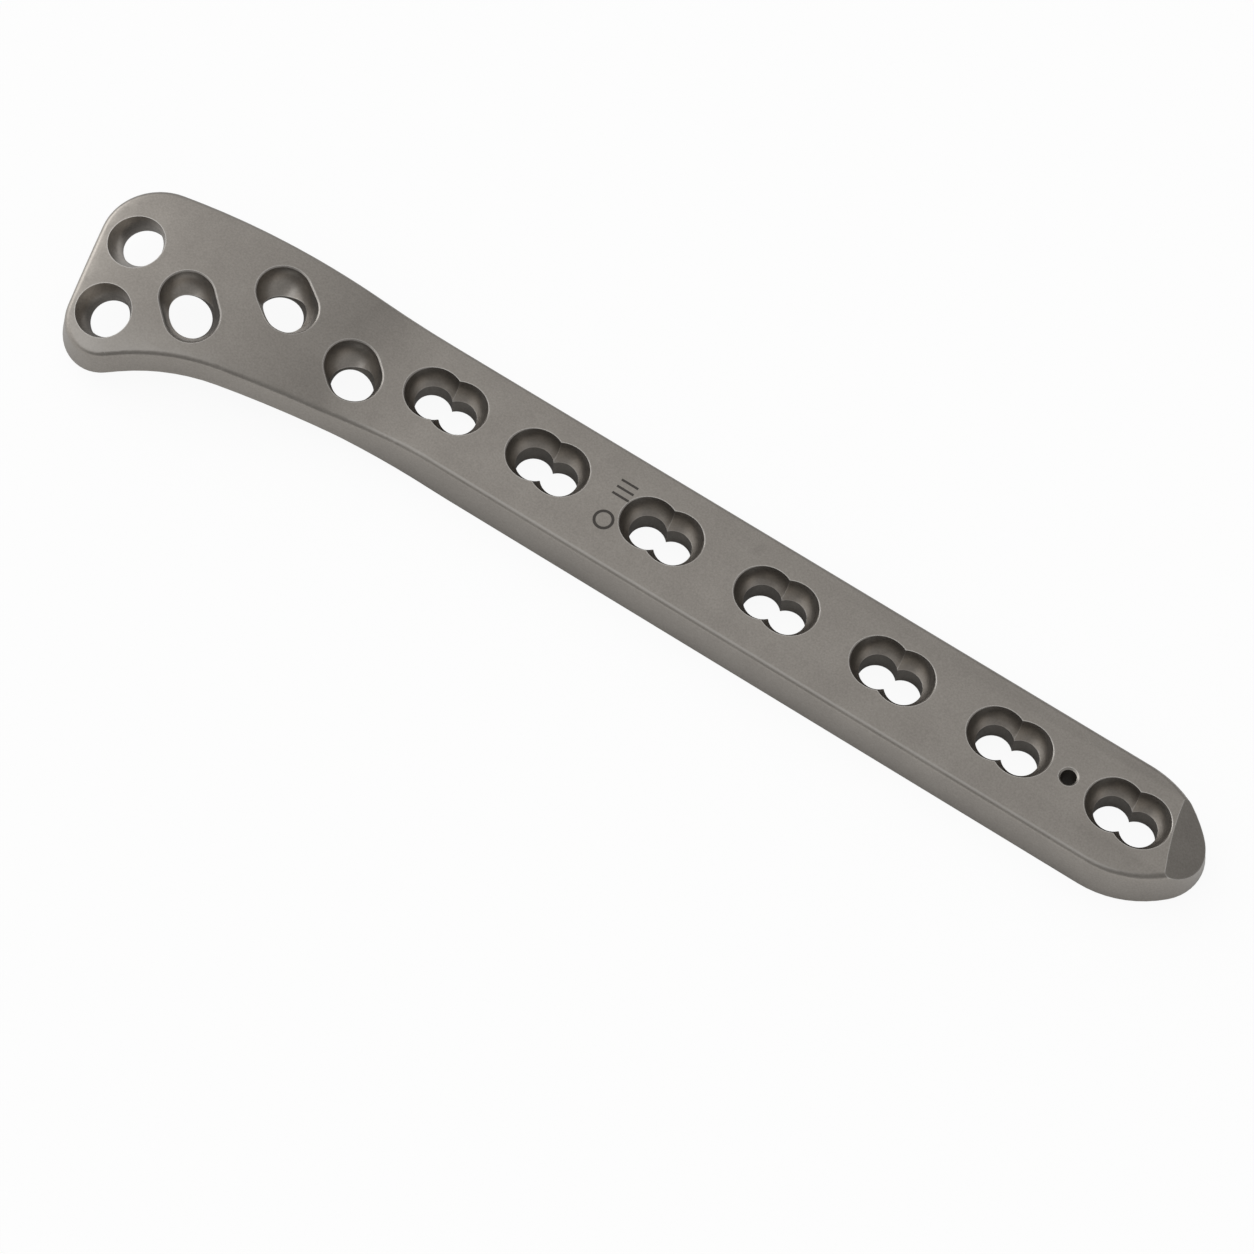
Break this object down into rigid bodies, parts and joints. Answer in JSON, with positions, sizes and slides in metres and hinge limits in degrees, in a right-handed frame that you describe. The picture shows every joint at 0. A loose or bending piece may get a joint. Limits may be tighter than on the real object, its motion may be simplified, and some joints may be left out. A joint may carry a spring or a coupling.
{
  "type": "orthopedic bone plate",
  "caption": "Bone fixation plate in one piece: straight drafted shaft with figure-eight screw holes, bent neck and thinner flared head with angled screw holes, bullet-shaped tail.",
  "frame": {"origin": "bottom centre of the plate's box; the two long edges of the shaft rest on Z = 0", "axes": "+X along the shaft from the flared head to the bullet-shaped tail; +Y across the plate, away from the flare; +Z out of the face that the screws enter"},
  "size_m": [0.1707, 0.03, 0.0098],
  "materials": {
    "titanium_alloy": "satin, fine blasted, anodised grey titanium alloy"
  },
  "bodies": {
    "root": {"bone_plate": "titanium_alloy"}
  },
  "joints": []
}
